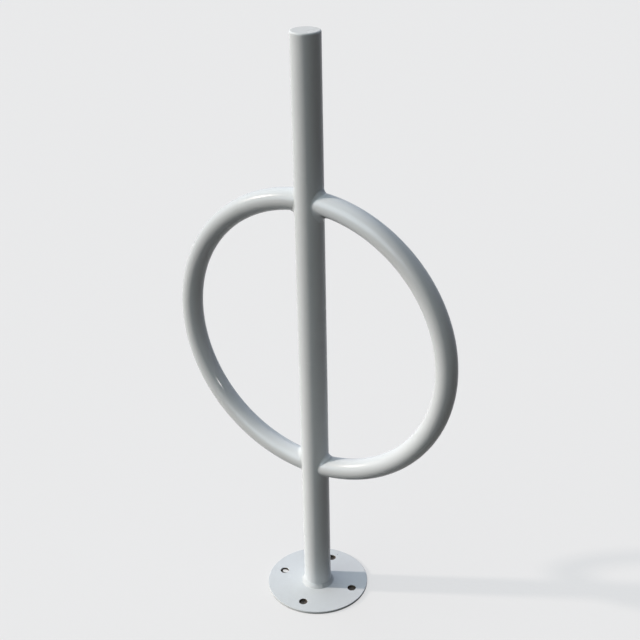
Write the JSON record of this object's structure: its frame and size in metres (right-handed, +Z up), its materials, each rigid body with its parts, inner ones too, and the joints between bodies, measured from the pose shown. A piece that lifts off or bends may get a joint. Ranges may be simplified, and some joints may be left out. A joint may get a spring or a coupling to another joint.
{
  "type": "hoop bike rack",
  "caption": "Bolt-down bicycle stand: an upright round post through the middle of a large tubular hoop, on a round base plate with anchor holes, for locking frames and wheels on both sides.",
  "frame": {"origin": "centre of the base plate's underside, on the post's axis, at ground level", "axes": "+Z up along the post; X in the hoop's plane, with the hoop's left half towards -X and its right half towards +X; Y across the hoop, the way a bicycle's wheel or lock passes through it"},
  "size_m": [0.5478, 0.19, 1.06],
  "materials": {
    "powder_coat": "satin"
  },
  "bodies": {
    "root": {"base_plate": "powder_coat", "post_tube": "powder_coat", "post_cap": "powder_coat", "weld_base": "powder_coat", "weld_cap": "powder_coat", "hoop_half_left": "powder_coat", "hoop_half_right": "powder_coat", "weld_hoop_left_bottom": "powder_coat", "weld_hoop_left_top": "powder_coat", "weld_hoop_right_bottom": "powder_coat", "weld_hoop_right_top": "powder_coat"}
  },
  "joints": []
}
